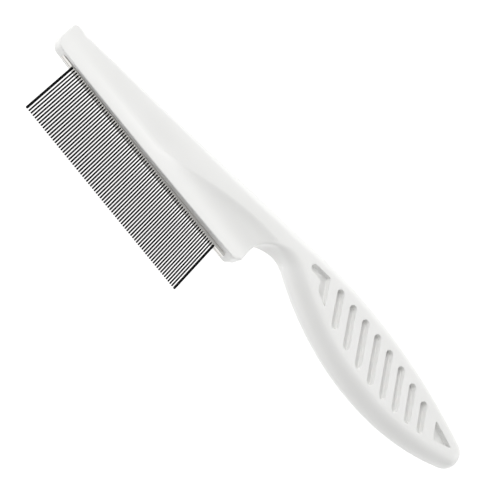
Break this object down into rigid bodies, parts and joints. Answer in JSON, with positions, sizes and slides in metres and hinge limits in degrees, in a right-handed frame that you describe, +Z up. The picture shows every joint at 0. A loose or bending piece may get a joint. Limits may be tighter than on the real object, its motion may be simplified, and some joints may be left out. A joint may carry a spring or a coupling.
{
  "type": "flea comb",
  "caption": "Handled flea comb: a close row of round steel pins in a folded sleeve under a long flat head, a finger notch, and a leaf-shaped grip with slanting pockets.",
  "frame": {"origin": "on the back face of the grip, under the middle of the comb's outline", "axes": "+X along the row of pins, from the toe of the head to the butt of the grip; -Y the way the pins point; +Z up, out of the front face, with the comb lying on its back face"},
  "size_m": [0.1818, 0.0496, 0.0098],
  "materials": {
    "white_plastic": "white moulded plastic, smooth with a soft satin sheen",
    "sleeve_steel": "folded strip, satin",
    "solder": "dull grey solder",
    "pin_steel": "drawn wire, polished"
  },
  "bodies": {
    "root": {"handle": "white_plastic", "pin_sleeve": "sleeve_steel", "pin_bedding": "solder", "guard_tooth_toe": "pin_steel", "guard_tooth_heel": "pin_steel", "fine_teeth_01": "pin_steel", "fine_teeth_02": "pin_steel", "fine_teeth_03": "pin_steel", "fine_teeth_04": "pin_steel", "fine_teeth_05": "pin_steel", "fine_teeth_06": "pin_steel", "fine_teeth_07": "pin_steel", "fine_teeth_08": "pin_steel", "fine_teeth_09": "pin_steel", "fine_teeth_10": "pin_steel", "fine_teeth_11": "pin_steel", "fine_teeth_12": "pin_steel", "fine_teeth_13": "pin_steel", "fine_teeth_14": "pin_steel", "fine_teeth_15": "pin_steel", "fine_teeth_16": "pin_steel", "fine_teeth_17": "pin_steel", "fine_teeth_18": "pin_steel", "fine_teeth_19": "pin_steel", "fine_teeth_20": "pin_steel", "fine_teeth_21": "pin_steel", "fine_teeth_22": "pin_steel", "fine_teeth_23": "pin_steel", "fine_teeth_24": "pin_steel", "fine_teeth_25": "pin_steel"}
  },
  "joints": []
}
